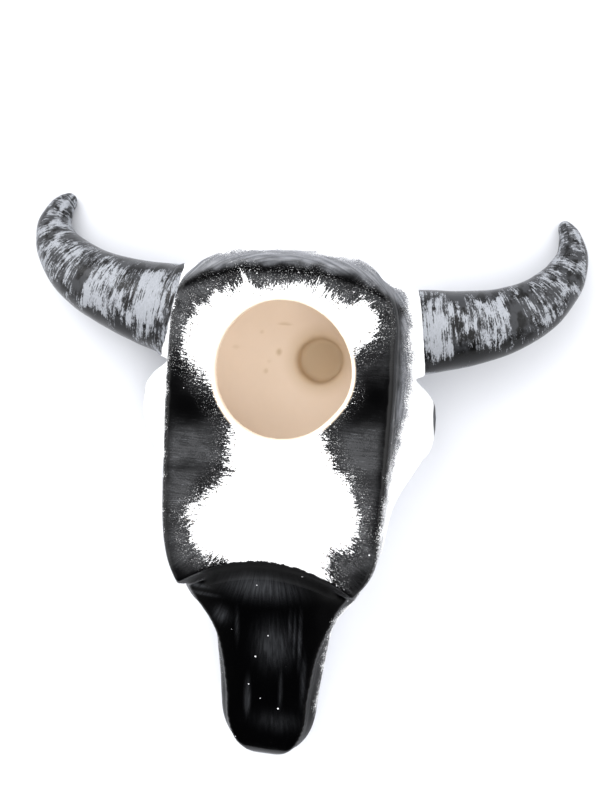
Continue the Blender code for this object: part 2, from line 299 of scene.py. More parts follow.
# Each eye socket is a deep bowl in a raised rim. The nose opening has a shallow groove each side
EYE_AT = np.array([60.5, 30.0, 15.5])
EYE_RADII = np.array([9.5, 11.5, 10.0])
RIM_INWARD, RIM_RADIUS, RIM_LEAN, RIM_DEPTH = 6.4, 2.6, 0.35, 1.4
NOSE_GROOVE_AT, NOSE_GROOVE_RADII = np.array([12.4, -76, 1.6]), (2.6, 13, 4.2)
NOSE_OPENING_AT, NOSE_OPENING_RADII = (0, -94, -0.5), (6.8, 14, 6.5)
turn = np.arange(64) / 64 * 2 * math.pi
roll = np.arange(20) / 20 * 2 * math.pi
for side in (1, -1):
    rings = []
    for t in turn:
        out = np.array([RIM_LEAN * math.sin(t), math.cos(t), math.sin(t)])
        middle = EYE_AT - (RIM_INWARD, 0, 0) + out * (EYE_RADII + 0.4)
        bulge = np.outer(np.cos(roll), out) + np.outer(np.sin(roll), (RIM_DEPTH, 0, 0))
        rings.append((middle + RIM_RADIUS * bulge) * (side, 1, 1))
    work(casting, shell("rim", rings, closed=True), "UNION")
    work(casting, ball(EYE_AT * (side, 1, 1), EYE_RADII), "DIFFERENCE")
    work(casting, ball(NOSE_GROOVE_AT * (side, 1, 1), NOSE_GROOVE_RADII), "DIFFERENCE")
work(casting, ball(NOSE_OPENING_AT, NOSE_OPENING_RADII), "DIFFERENCE")

# The hollow left where the slip was drained
WALL = 4.6
HOLLOW_NOSE_END, HOLLOW_POLL_END = -19.0, 86.0
HOLLOW_FLOOR, HOLLOW_HALF_WIDTH = 14.0, 40.0
HOLLOW_SIDES, HOLLOW_RINGS = 96, 60


def hollow_end(t):
    """How full the hollow is, for t from -1 at its nose end to 1 at its poll end."""
    return np.maximum(1 - np.abs(t) ** 5, 0) ** 0.2


def hollow_half_width(y):
    return np.minimum(HOLLOW_HALF_WIDTH, plate_half_width(y) - WALL - 1)


turn = np.arange(HOLLOW_SIDES) / HOLLOW_SIDES * 2 * math.pi
rings = []
for t in np.sin(np.linspace(-1, 1, HOLLOW_RINGS) * math.radians(84)):
    y = (HOLLOW_NOSE_END + HOLLOW_POLL_END) / 2 + (HOLLOW_POLL_END - HOLLOW_NOSE_END) / 2 * t
    end = hollow_end(t)
    top = plate_height(y) - WALL
    half = (top - HOLLOW_FLOOR) / 2
    width = hollow_half_width(y) * end
    reach = oval_reach(np.abs(np.cos(turn)), np.abs(np.sin(turn)), width, half, 5)
    x, z = reach * np.cos(turn), reach * np.sin(turn) * (0.25 + 0.75 * end)
    rings.append(np.column_stack([x, np.full(HOLLOW_SIDES, y), (top + HOLLOW_FLOOR) / 2 + z]))
work(casting, shell("hollow", rings), "DIFFERENCE")

# The pour hole, cut by hand through the plate, so it is not quite round
HOLE_X, HOLE_Y = 1.2, 49.0
HOLE_HALF_WIDTH, HOLE_HALF_LENGTH = 26.1, 26.6
FLAT_AT, FLAT_DEPTH = math.radians(318), 0.035
flat_side = FLAT_DEPTH * np.exp(-(((turn - FLAT_AT) / 0.35) ** 2))
cut = 1 - flat_side + 0.008 * np.cos(3 * turn + 0.6)
hole_x = HOLE_X + HOLE_HALF_WIDTH * np.cos(turn) * cut
hole_y = HOLE_Y + HOLE_HALF_LENGTH * np.sin(turn) * cut
rings = [
    np.column_stack([hole_x, hole_y - rise * PLATE_LEAN, np.full(len(turn), PLATE_Z + rise)])
    for rise in (-14, 12)
]
work(casting, shell("hole", rings), "DIFFERENCE")

# The round pocket in the hollow's floor: (height, how much wider than its waist)
WELL_X, WELL_Y, WELL_RADIUS, WELL_FLOOR = 10.8, 54.0, 9.6, 5.5
WELL_PROFILE = (
    (WELL_FLOOR, -1.6), (WELL_FLOOR + 1, -0.5), (HOLLOW_FLOOR - 3, 0), (HOLLOW_FLOOR - 1, 0.7),
    (HOLLOW_FLOOR + 0.6, 2.6), (HOLLOW_FLOOR + 4, 2.8),
)
rings = [
    ring_about((WELL_X, WELL_Y, height), (0, 0, 1), WELL_RADIUS + wider, 72, (0.0, 1.0, 0.0))
    for height, wider in WELL_PROFILE
]
work(casting, shell("well", rings), "DIFFERENCE")

# Sponging: every edge is softened
CLAY_GRAIN = 0.7
even = casting.modifiers.new("even", "REMESH")
even.mode = "VOXEL"
even.voxel_size = CLAY_GRAIN * MM
sponge = casting.modifiers.new("sponge", "SMOOTH")
sponge.factor = 0.5
sponge.iterations = 6
settled(casting)


def edge_places(mesh):
    ends = np.empty(len(mesh.edges) * 2, np.int32)
    mesh.edges.foreach_get("vertices", ends)
    return ends.reshape(-1, 2)


def eased_mesh(places, ends, share, rounds):
    """Places pulled towards their neighbours' middle, each by its own share."""
    count = np.bincount(ends.ravel(), minlength=len(places)).astype(float)
    for _ in range(rounds):
        total = np.zeros_like(places)
        for axis in range(3):
            total[:, axis] = np.bincount(ends[:, 0], places[ends[:, 1], axis], len(places))
            total[:, axis] += np.bincount(ends[:, 1], places[ends[:, 0], axis], len(places))
        places = places + (total / count[:, None] - places) * share[:, None]
    return places


# The clay is sponged further where a boss or an eye rim grows out of the side
mesh = casting.data
at = vertex_places(mesh).astype(float)
ends = edge_places(mesh)
near_boss = np.zeros(len(at))
for centre, axis, radius in HORN_BOSSES:
    away = np.linalg.norm(at - np.array(centre), axis=1)
    near_boss = np.maximum(near_boss, soft_step((radius + 13 - away) / 8))
near_boss *= soft_step((at[:, 2] - 2) / 5) * soft_step((47 - at[:, 2]) / 4)
near_boss *= np.abs(at[:, 0]) < 50.5
away = np.abs(at) - EYE_AT * (1, 0, 0)
away[:, 1:] = at[:, 1:] - EYE_AT[1:]
near_eye = soft_step((20 - np.linalg.norm(away, axis=1)) / 6) * soft_step((at[:, 2] - 1) / 3)
at = eased_mesh(at, ends, 0.5 * np.maximum(near_boss, 0.6 * near_eye), 14)

# Hand work leaves the crest lumpy and the plate not quite flat
LUMP_SPAN, DENT_SPAN, DENT_SHARE = 16.0, 6.0, 0.45
PLAIN_LUMPS, CREST_LUMPS, CREST_SWELL = 0.16, 0.95, 1.3
normals = np.empty(len(mesh.vertices) * 3, np.float32)
mesh.vertices.foreach_get("normal", normals)
normals = normals.reshape(-1, 3)
outside = (at[:, 2] > 0.6) & (at[:, 2] < 70)
lumps = np.array([noise.noise(Vector(p) / LUMP_SPAN) for p in at])
dents = np.array([noise.noise(Vector(p) / DENT_SPAN + Vector((9, 0, 0))) for p in at])
lumps += DENT_SHARE * dents
crest = soft_step((past_plate(at[:, 0], at[:, 1]) + 1) / 3) * soft_step((at[:, 2] - 35) / 10)
size = PLAIN_LUMPS + CREST_LUMPS * crest
at += normals * (lumps * size * outside)[:, None]
at[:, 1] += CREST_SWELL * crest * np.exp(-((at[:, 0] / 24) ** 2))
at[:, 2] = np.maximum(at[:, 2], 0)
mesh.vertices.foreach_set("co", (at * MM).astype(np.float32).ravel())
mesh.update()
mesh.polygons.foreach_set("use_smooth", [True] * len(mesh.polygons))

# Where the bare white patch ends, and where the black ends along the right, left and poll edges
WHITE_PATCH = (
    (-15.5, 84.5), (-9.9, 78.9), (-2.9, 80.5), (5.3, 82.5), (13.9, 81.9), (17.1, 78.1),
    (23.6, 75.3), (30, 77.5), (34.3, 74.1), (36.5, 69.6), (34.3, 64.3), (31.3, 60.7),
    (25.7, 56.3), (23.4, 50.9), (23.3, 47.5), (25.8, 43.2), (22.8, 39.2), (18.6, 34.3),
    (17.3, 30.1), (19, 22.9), (19.7, 22.6), (24.1, 13.4), (28.7, 9.9), (30.9, 5.2),
    (33.9, -2.5), (34.4, -9.4), (31.5, -16.7), (27.2, -17.2), (23.4, -19.6), (23.3, -24.7),
    (25.3, -31), (21.4, -36), (-16.5, -36), (-16.2, -25.8), (-22.9, -25), (-27.1, -23.3),
    (-30.3, -20.1), (-31.5, -16.6), (-30.6, -13.4), (-33.1, -9.8), (-27.5, -3.4), (-21.3, 3.7),
    (-16.1, 9.7), (-17.9, 12.7), (-17.1, 19.8), (-16.6, 25.2), (-18.4, 30.9), (-21.7, 34.5),
    (-24.7, 40), (-27.6, 43.6), (-31.8, 48.6), (-35.8, 51), (-37.6, 55.8), (-37.1, 61.9),
    (-33.8, 67.3), (-32.1, 72.3), (-29, 71.8), (-26.2, 77.9), (-22.4, 77.4), (-17.1, 77.8),
)
black_edge_right = eased(
    (-119, 14), (-110, 19.5), (-104, 23), (-97, 21.8), (-83, 22.8), (-70, 24), (-57.5, 26),
    (-50, 28.5), (-46, 31), (-43.5, 34), (-40, 36.5), (-34, 40.5), (-11.6, 43.7), (0.8, 44.4),
    (13, 45), (21.2, 46.7), (29.4, 48.4), (37.4, 49.7), (47.3, 50.1), (56.9, 49.2),
    (68.4, 48.4), (79.8, 46.4), (96, 40),
)
black_edge_left = eased(
    (-119, 20), (-100, 22.5), (-85, 23), (-70, 24.5), (-58, 28), (-50, 35), (-45, 39),
    (-38, 41.5), (-30, 43), (-11.6, 43.9), (40, 44.4), (60, 44.2), (80, 41), (96, 38),
)
black_edge_poll = eased(
    (-60, 77), (-47, 83), (-39.6, 87.9), (-23.9, 92.6), (-11.4, 95.2), (-0.6, 96.1),
    (11.1, 95.2), (26.6, 92.5), (38.4, 88.4), (47, 82), (60, 74),
)


def distance_inside(points, outline):
    """How far each point is inside an outline, or outside it as a negative number."""
    outline = np.array(outline, float)
    nearest = np.full(len(points), 1e9)
    crossings = np.zeros(len(points), int)
    for a, b in zip(outline, np.roll(outline, -1, axis=0)):
        along = np.clip(((points - a) @ (b - a)) / ((b - a) @ (b - a)), 0, 1)
        off = points - a - along[:, None] * (b - a)
        nearest = np.minimum(nearest, np.linalg.norm(off, axis=1))
        if a[1] != b[1]:
            meets = (points[:, 1] > min(a[1], b[1])) & (points[:, 1] <= max(a[1], b[1]))
            where = a[0] + (points[:, 1] - a[1]) * (b[0] - a[0]) / (b[1] - a[1])
            crossings += meets & (points[:, 0] < where)
    return np.where(crossings % 2 == 1, nearest, -nearest)


# How far each point of the clay is past each paint's edge, in millimetres, or NOT_HERE
NOT_HERE = -20
x, y, z = at.T
flat = at[:, :2]
plate = plate_height(y)
past_edge = past_plate(x, y)
lip_mm = y - lip_edge(x)
white_mm = np.where(z > plate - 6, distance_inside(flat, WHITE_PATCH), NOT_HERE)

# The black runs a little way down the sides, lower under the nose and at the left neck corner
black_mm = np.where(x > 0, black_edge_right(y) - x, x + black_edge_left(y))
black_mm = np.minimum(black_mm, black_edge_poll(x) - y)
level = middle_height(y) + np.where(x > 0, 3.0, 1.0) - 7 * soft_step((-58 - y) / 14)
level -= np.where(x < 0, 9, 0) * np.exp(-(((y + 46) / 9) ** 2))
black_mm = np.minimum(black_mm, (z - level) * 0.8)

# Bare clay starts at the hole's edge and takes in the whole hollow and its pocket
hole_turn = np.arctan2(y - HOLE_Y, x - HOLE_X) % (2 * math.pi)
hole_edge = np.interp(hole_turn, turn, cut, period=2 * math.pi)
from_middle = np.hypot((x - HOLE_X) / HOLE_HALF_WIDTH, (y - HOLE_Y) / HOLE_HALF_LENGTH)
from_hole = (1 - from_middle / hole_edge) * 26
clay_mm = np.where(z > plate - 2.5, from_hole + np.clip(plate - z, 0, 2.5), from_hole)
t = (2 * y - HOLLOW_NOSE_END - HOLLOW_POLL_END) / (HOLLOW_POLL_END - HOLLOW_NOSE_END + 3)
end = hollow_end(t)
top = plate - WALL
half = (top - HOLLOW_FLOOR) / 2 * (0.25 + 0.75 * end) + 1.0
width = hollow_half_width(y) * end + 1.0
above = (z - (top + HOLLOW_FLOOR) / 2) / half
in_hollow = (np.abs(x / width) ** 5 + np.abs(above) ** 5 < 1) & (np.abs(t) < 1)
from_well = np.hypot(x - WELL_X, y - WELL_Y)
in_hollow |= (from_well < WELL_RADIUS + 3) & (z > 3) & (z < 20)
clay_mm = np.where(in_hollow, np.maximum(clay_mm, 6), clay_mm)
side_wall = (z < plate - 8) & ~in_hollow & (from_hole < 3)
clay_mm = np.where((z < 5) | side_wall, NOT_HERE, clay_mm)

def dab(cx, cy, rx, ry, hardness):
    """1 in the middle of an oval dab and 0 past its edge, which is sharper where it is harder."""
    return np.exp(-(((x - cx) / rx) ** 2 + ((y - cy) / ry) ** 2) ** hardness)


# Small pits that the slip left on the hollow's floor, painted as dark spots of shade rather than
# cut: (x, y, reach along x, reach along y, strength)
PITS = (
    (-5.3, 68.4, 3.0, 0.6, 0.7), (-15, 64.3, 0.8, 0.8, 0.5), (-25.8, 57.1, 1.6, 0.8, 0.35),
    (-7, 56.3, 1.2, 1.5, 0.9), (-12.1, 47.8, 1.0, 1.1, 0.6), (-11, 52, 0.9, 0.7, 0.3),
)
on_floor = z < 18
# Painted shade: the clay darkens in the deep pocket and in a soft halo round it
pocket_shade = 0.9 * soft_step((WELL_RADIUS + 8 - from_well) / 10.5) * on_floor
for px, py, rx, ry, amount in PITS:
    pocket_shade = np.maximum(pocket_shade, amount * dab(px, py, rx, ry, 2) * on_floor)

# Three small rusty specks in the white: (x, y)
RUST_SPECKS = ((-1.3, 24.3), (0.3, 24.5), (-10.8, 18.1))
rust = np.zeros(len(at))
for cx, cy in RUST_SPECKS:
    rust = np.maximum(rust, 0.8 * np.exp(-((x - cx) ** 2 + (y - cy) ** 2) / 0.35) * (z > 50))


def inside_ball(points, centre, radii):
    """1 inside a ball of three radii, falling to 0 just outside it."""
    return soft_step((1.12 - np.linalg.norm((points - centre) / radii, axis=1)) / 0.14)


# The sockets and the nose opening are black, and the black of each socket runs out over its rim
RUN_OVER, RUN_OVER_RADII = np.array([62.3, 36.5, 22.5]), (4.6, 7, 11)
mirrored = np.column_stack([np.abs(x), y, z])
socket = inside_ball(at, NOSE_OPENING_AT, NOSE_OPENING_RADII)
for part in (0, 0.25, 0.5, 0.75, 1):
    middle = EYE_AT + part * (RUN_OVER - EYE_AT)
    radii = EYE_RADII + part * (RUN_OVER_RADII - EYE_RADII)
    socket = np.maximum(socket, inside_ball(mirrored, middle, radii))

# The horn's paint takes in the left boss. Paint on the steep sides and on the lip is matt
horn_mm = np.where(y > 45, -43.9 - 0.2 * (88 - y) - 0.28 * (40 - z) - x, NOT_HERE)
steep = soft_step((0.8 - normals[:, 2]) / 0.5)
matt_lip = soft_step((lip_mm + 11) / 3) * soft_step((0.3 - lip_mm) / 1.5)
matt_lip *= soft_step((30 - np.abs(x)) / 8)
matt = np.maximum(0.55 * steep, matt_lip * (z > 20)) * (z > 5)
past_side = np.where(y > -30, x - plate_half_width(y) + 2.2, NOT_HERE)
wall_mm = np.maximum(past_edge, past_side)

# The brush went round and round the white patch, along a loop about a spine down its middle:
# the place round the loop, as a circle, and how far out from the spine
BRUSHED_FROM, BRUSHED_TO = np.array([1.0, 49.0]), np.array([-1.0, -2.0])
BRUSH_TURN = 35.0
spine = BRUSHED_TO - BRUSHED_FROM
share = np.clip(((flat - BRUSHED_FROM) @ spine) / (spine @ spine), 0, 1)
away = flat - BRUSHED_FROM - share[:, None] * spine
reach = np.linalg.norm(away, axis=1)
sideways = np.arctan2(away[:, 1], np.abs(away[:, 0]))
length = np.linalg.norm(spine)
round_spine = share * length - sideways * BRUSH_TURN + math.pi / 2 * BRUSH_TURN
whole = 2 * (length + math.pi * BRUSH_TURN)
angle = np.sign(x) * round_spine / whole * 2 * math.pi
brush = np.column_stack([
    np.cos(angle) * whole / 2 / math.pi,
    np.sin(angle) * whole / 2 / math.pi,
    reach,
])

# Patches of thinner, chalkier black and of thicker, glossier black, written as the pits are. They
# also carry painted sheen: lighter where the black would reflect the light, and darker where it
# would reflect dark, as along the rolled side edges
CHALK_AND_SHEEN = (
    (-30, 76, 18, 9, 0.95), (0, 82, 36, 5, 0.95), (27, 80, 16, 7, 0.9), (40, 66, 5, 10, 0.6),
    (-39, 62, 6, 14, 0.9), (-32, 16, 14, 12, 1.0), (-31, -20, 10, 12, 1.0),
    (34, 20, 12, 14, 1.0), (33, -16, 9, 16, 1.0), (-36, 0, 9, 12, 0.85), (36, 4, 7, 14, 0.9),
)
GLOSSY = (
    (-35, 33, 13, 9, 1.0), (-40, 44, 5, 12, 0.9), (37, 42, 9, 9, 1.0), (31, 36, 8, 5, 0.8),
    (-44, 10, 3.2, 75, 0.9), (43, 10, 3.5, 75, 0.95), (-36, 9, 8, 1.5, 0.5),
    (-37, -34, 6, 4, 0.9), (37, -28, 6, 5, 0.8),
)
chalk_and_sheen = np.full(len(at), 0.42)
for cx, cy, rx, ry, amount in CHALK_AND_SHEEN:
    chalk_and_sheen = np.maximum(chalk_and_sheen, amount * dab(cx, cy, rx, ry, 1.5))
for cx, cy, rx, ry, amount in GLOSSY:
    chalk_and_sheen *= 1 - amount * dab(cx, cy, rx, ry, 1.5)
# Painted shade: the black is made darker off the top, on the muzzle and the lower sides, and under
# the lip, and darkest in a line along the crease at the plate's top edge
on_top = (z > plate - 2.5) | (wall_mm > 0)
chalk_and_sheen *= np.where(on_top, 1, 0.15) * soft_step((lip_mm + 0.5) / 3)
chalk_and_sheen *= 1 - 0.95 * np.exp(-(((past_edge + 0.6) / 1.6) ** 2))

# Painted highlights: faint light strokes and lines where the glossy muzzle and its lip catch the
# light, also written as the pits are
SHEEN = (
    (-4, -38, 12, 4.5, 0.8), (2.5, -64, 6, 8, 0.6), (-8, -90, 0.9, 6, 0.9),
    (15.2, -80, 0.8, 8, 0.5), (-31, -41.5, 5, 0.8, 0.9), (33, -36.8, 4, 0.8, 0.9),
    (-29.5, -44.8, 6.5, 0.7, 0.6), (5, -100, 8, 4, 0.2), (9, -58, 0.5, 7, 0.6),
    (11, -60, 0.4, 8, 0.6), (13.2, -61, 0.5, 9, 0.8), (6, -84, 0.6, 9, 0.3),
    (-20, -53, 3, 3, 0.6), (-13, -57, 0.7, 6, 0.3),
)
sheen = np.zeros(len(at))
for cx, cy, rx, ry, amount in SHEEN:
    sheen = np.maximum(sheen, amount * dab(cx, cy, rx, ry, 1))

# The left boss is dry-brushed with its horn, so it carries on the horn's own readings
HORN_GIRTH = 12.0
centre, axis = np.array(HORN_BOSSES[1][0]), np.array(HORN_BOSSES[1][1])
axis = axis / np.linalg.norm(axis)
across = np.cross(axis, (0, 0, 1))
across /= np.linalg.norm(across)
out = at - centre
along = out @ axis
out -= along[:, None] * axis
out /= np.maximum(np.linalg.norm(out, axis=1), 1e-6)[:, None]
round_and_along = np.column_stack([
    out @ across * HORN_GIRTH,
    out @ np.cross(across, axis) * HORN_GIRTH,
    along,
])
less_grey = np.full(len(at), -0.1)


def mark(mesh, name, values):
    """Writes one reading for each point of the surface, for the paint to use."""
    kind, field = ("FLOAT", "value") if values.ndim == 1 else ("FLOAT_VECTOR", "vector")
    layer = mesh.attributes.new(name, kind, "POINT")
    layer.data.foreach_set(field, values.astype(np.float32).ravel())


READINGS = {
    "white_mm": white_mm,
    "black_mm": black_mm,
    "clay_mm": clay_mm,
    "chalk_and_sheen": chalk_and_sheen,
    "brush": brush,
    "lip_mm": lip_mm,
    "pocket_shade": pocket_shade,
    "socket": socket,
    "horn_mm": horn_mm,
    "wall_mm": wall_mm,
    "sheen": sheen,
    "round_and_along": round_and_along,
    "nose_side": -out[:, 1],
    "rust": rust,
    "matt": matt,
    "less_grey": less_grey,
}
for name, values in READINGS.items():
    mark(mesh, name, values)


class Finish:
    """The nodes of one painted or bare clay surface, and short ways to build it up."""

    def __init__(self, owner):
        owner.use_nodes = True
        self.owner = owner
        self.tree = owner.node_tree
        self.surface = self.tree.nodes.get("Principled BSDF")

    def add(self, kind, inputs, **settings):
        node = self.tree.nodes.new(kind)
        for key, value in settings.items():
            setattr(node, key, value)
        for key, value in inputs.items():
            self.put(node.inputs[key], value)
        return node

    def put(self, socket, value):
        if isinstance(value, bpy.types.NodeSocket):
            self.tree.links.new(value, socket)
        else:
            socket.default_value = value

    def reading(self, name):
        return self.add("ShaderNodeAttribute", {}, attribute_name=name).outputs["Fac"]

    def vector(self, operation, inputs):
        return self.add("ShaderNodeVectorMath", inputs, operation=operation).outputs[0]

    def place(self, name, stretch):
        """The place in a reading's own directions, stretched so that its grain runs in strokes."""
        at = self.add("ShaderNodeAttribute", {}, attribute_name=name).outputs["Vector"]
        return self.vector("MULTIPLY", {0: at, 1: stretch})

    def here(self, size_mm):
        """The place on the object, in steps of size_mm."""
        at = self.add("ShaderNodeTexCoord", {}).outputs["Object"]
        return self.vector("SCALE", {0: at, "Scale": 1000 / size_mm})

    def grain(self, vector, detail=2.0, rough=0.5):
        inputs = {"Vector": vector, "Scale": 1.0, "Detail": detail, "Roughness": rough}
        return self.add("ShaderNodeTexNoise", inputs).outputs["Fac"]

    def maths(self, operation, a, b=0.0, c=0.0):
        return self.add("ShaderNodeMath", {0: a, 1: b, 2: c}, operation=operation).outputs[0]

    def times(self, a, b):
        return self.maths("MULTIPLY", a, b)

    def raised(self, value, by, amount):
        """value, with `by` added in this amount."""
        return self.maths("MULTIPLY_ADD", by, amount, value)

    def frayed(self, edge, grain, reach):
        """An edge's reading, moved in and out by the grain."""
        return self.raised(edge, self.maths("SUBTRACT", grain, 0.5), reach)

    def more_of(self, a, b):
        return self.maths("MAXIMUM", a, b)

    def ramp(self, value, low, high, to_low=0.0, to_high=1.0):
        """A soft step from to_low where value is low to to_high where it is high."""
        inputs = {
            "Value": value,
            "From Min": low,
            "From Max": high,
            "To Min": to_low,
            "To Max": to_high,
        }
        node = self.add("ShaderNodeMapRange", inputs, interpolation_type="SMOOTHSTEP")
        return node.outputs["Result"]

    def over(self, share, under, top):
        """The colour `top` laid over `under` where share is 1."""
        node = self.add("ShaderNodeMix", {}, data_type="RGBA")
        self.put(node.inputs[0], share)
        self.put(node.inputs[6], under)
        self.put(node.inputs[7], top)
        return node.outputs[2]

    def specks(self, size_mm, share, radius):
        """Small round dots, in a share of cells size_mm apart."""
        cells = self.add("ShaderNodeTexVoronoi", {"Vector": self.here(size_mm), "Scale": 1.0})
        lucky = self.add("ShaderNodeSeparateColor", {0: cells.outputs["Color"]})
        chosen = self.maths("LESS_THAN", lucky.outputs[0], share)
        wide = self.times(lucky.outputs[1], radius)
        past_rim = self.maths("SUBTRACT", cells.outputs["Distance"], wide)
        return self.times(chosen, self.ramp(past_rim, 0.0, 0.04, 1.0, 0.0))

    def relief(self, height, depth_mm):
        inputs = {"Height": height, "Strength": 1.0, "Distance": depth_mm * MM}
        return self.add("ShaderNodeBump", inputs).outputs["Normal"]


# The grey that is dragged over the black of the horns, and the black below it
FRESH_BLACK = (0.0012, 0.0012, 0.0014, 1)
WASHED_BLACK = (0.028, 0.029, 0.032, 1)
RIM_BLACK = (0.001, 0.001, 0.0012, 1)
DARK_GREY = (0.16, 0.168, 0.184, 1)
PALE_GREY = (0.36, 0.375, 0.405, 1)


def dry_brushed(finish):
    """Black with pale grey dragged round and round over it: the colour, and the share of grey."""
    blocks = finish.grain(finish.place("round_and_along", (0.13, 0.13, 0.17)), 2.0, 0.5)
    strokes = finish.grain(finish.place("round_and_along", (0.14, 0.14, 1.5)), 3.0, 0.6)
    flecks = finish.grain(finish.place("round_and_along", (1.3, 1.3, 3.0)), 3.0, 0.65)
    wash = finish.grain(finish.place("round_and_along", (0.2, 0.2, 0.3)), 2.0, 0.5)
    side = finish.reading("nose_side")
    near_rim = finish.times(finish.ramp(side, 0.35, 0.75), finish.ramp(side, 0.99, 0.90))
    share = finish.raised(blocks, strokes, 0.75)
    share = finish.raised(share, flecks, 0.55)
    share = finish.raised(share, near_rim, -0.11)
    share = finish.raised(share, finish.ramp(side, -0.55, -0.9), -0.09)
    share = finish.maths("SUBTRACT", share, finish.reading("less_grey"))
    dry = finish.ramp(share, 1.11, 1.27)
    black = finish.over(finish.ramp(wash, 0.40, 0.56), FRESH_BLACK, WASHED_BLACK)
    black = finish.over(near_rim, black, RIM_BLACK)
    grey = finish.over(flecks, DARK_GREY, PALE_GREY)
    return finish.over(dry, black, grey), dry


# The casting's paints: a white coat, black brushed over it, and bare clay at the hole
WHITE = (0.86, 0.86, 0.87, 1)
DIRT = (0.10, 0.085, 0.07, 1)
RUST = (0.75, 0.38, 0.22, 1)
THICK_BLACK = (0.0005, 0.0005, 0.0006, 1)
# The thin black is also the colour of the painted sheen on the plate
THIN_BLACK_AND_SHEEN = (0.041, 0.0415, 0.0435, 1)
SCRATCH_GREY = (0.14, 0.145, 0.157, 1)
# Painted reflection: the greys that the black takes past the plate's edge, on the crest and the
# right side wall, streaked along the edge
WALL_SHEEN_DARK, WALL_SHEEN_PALE = (0.085, 0.088, 0.096, 1), (0.19, 0.195, 0.212, 1)
# A painted highlight on the glossy black of the muzzle
SHEEN_GREY = (0.05, 0.052, 0.057, 1)
SPATTER = (0.75, 0.75, 0.77, 1)
SOCKET_BLACK = (0.030, 0.030, 0.033, 1)
PEACH = (0.90, 0.74, 0.58, 1)
BARE_CLAY = (0.865, 0.74, 0.615, 1)
DARK_CLAY = (0.64, 0.51, 0.35, 1)
PAINT_SPECULAR = 0.2

paint = Finish(bpy.data.materials.new("painted_clay"))
to_white, to_wall = paint.reading("white_mm"), paint.reading("wall_mm")
bristles = paint.grain(paint.place("brush", (2.3, 2.3, 0.42)), 4.0, 0.6)
wide_strokes = paint.grain(paint.place("brush", (0.5, 0.5, 0.14)), 3.0, 0.55)
streaks = paint.grain(paint.place("brush", (1.6, 1.6, 0.10)), 5.0, 0.65)
crumbs = paint.grain(paint.here(0.42), 2.0, 0.6)
patches = paint.grain(paint.here(7.0), 3.0, 0.5)

# The black is dry where it meets the white patch, so its edge breaks into bristle marks
ragged = paint.ramp(paint.grain(paint.here(16.0), 1.0), 0.35, 0.65, 0.45, 1.25)
loose = paint.frayed(0.0, bristles, 17.0)
loose = paint.frayed(loose, wide_strokes, 7.0)
loose = paint.frayed(loose, crumbs, 11.0)
in_white = paint.ramp(paint.raised(to_white, loose, ragged), -0.1, 0.4)
salt = paint.times(paint.ramp(crumbs, 0.61, 0.70), paint.ramp(to_white, -9.0, -1.0))
in_white = paint.more_of(in_white, paint.times(salt, 0.8))
lip = paint.frayed(paint.reading("lip_mm"), wide_strokes, 2.0)
in_white = paint.times(in_white, paint.ramp(lip, -0.2, 0.3))

# Its outer edge is crumbly, with chips of white along the crest
outer = paint.frayed(paint.reading("black_mm"), crumbs, 11.0)
outer = paint.frayed(outer, patches, 5.0)
chips = paint.times(paint.ramp(crumbs, 0.58, 0.66), paint.ramp(outer, 7.0, 0.5))
chips = paint.times(chips, paint.ramp(to_wall, -1.0, 2.0))
in_black = paint.raised(paint.ramp(outer, -0.1, 0.5), chips, -0.85)

# The black itself: chalky where it is thin, with painted sheen in it, scratched by the bristles,
# and past the edge a painted reflection, grey on the crest and the right side wall
scratches = paint.ramp(paint.grain(paint.place("brush", (4.0, 4.0, 0.3))), 0.62, 0.72)
chalky_and_sheen = paint.times(paint.reading("chalk_and_sheen"), paint.ramp(streaks, 0.25, 0.75, 0.6, 1.35))
chalky_and_sheen = paint.times(chalky_and_sheen, paint.ramp(patches, 0.3, 0.7, 0.55, 1.2))
chalky_and_sheen = paint.times(chalky_and_sheen, paint.ramp(crumbs, 0.35, 0.65, 0.75, 1.2))
black = paint.over(chalky_and_sheen, THICK_BLACK, THIN_BLACK_AND_SHEEN)
black = paint.over(paint.times(scratches, paint.times(chalky_and_sheen, 0.7)), black, SCRATCH_GREY)
along_edge = paint.grain(paint.place("brush", (0.10, 0.10, 1.3)), 3.0, 0.6)
wall = paint.over(paint.ramp(along_edge, 0.35, 0.65), WALL_SHEEN_DARK, WALL_SHEEN_PALE)
black = paint.over(paint.ramp(paint.frayed(to_wall, patches, 6.0), 0.5, 4.5), black, wall)
# Painted highlights on the muzzle and its lip
painted_highlight = paint.times(paint.reading("sheen"), paint.ramp(streaks, 0.35, 0.7, 0.3, 1.0))
black = paint.over(painted_highlight, black, SHEEN_GREY)
black = paint.over(paint.specks(2.6, 0.09, 0.13), black, SPATTER)

# The white patch: dirt along its border and three rusty specks
smears = paint.grain(paint.here(0.95), 3.0, 0.6)
dirt = paint.times(paint.ramp(smears, 0.57, 0.63), paint.ramp(to_white, 6.0, 1.0))
white = paint.over(dirt, WHITE, DIRT)
white = paint.over(paint.reading("rust"), white, RUST)
colour = paint.over(in_black, WHITE, black)
colour = paint.over(in_white, colour, white)
horn_edge = paint.frayed(paint.reading("horn_mm"), patches, 1.5)
colour = paint.over(paint.ramp(horn_edge, -0.1, 0.3), colour, dry_brushed(paint)[0])
colour = paint.over(paint.reading("socket"), colour, SOCKET_BLACK)

# The bare clay, with a peach line where the knife broke the white coat
clay_tone = paint.grain(paint.here(18.0), 4.0, 0.6)
clay = paint.over(paint.ramp(clay_tone, 0.3, 0.75, 0.0, 0.10), BARE_CLAY, DARK_CLAY)
# Painted shade in the pocket and the pits
clay = paint.over(paint.reading("pocket_shade"), clay, DARK_CLAY)
to_clay = paint.reading("clay_mm")
colour = paint.over(paint.ramp(to_clay, -1.9, -0.7), colour, PEACH)
colour = paint.over(paint.ramp(to_clay, -0.3, 0.6), colour, clay)
paint.put(paint.surface.inputs["Base Color"], colour)

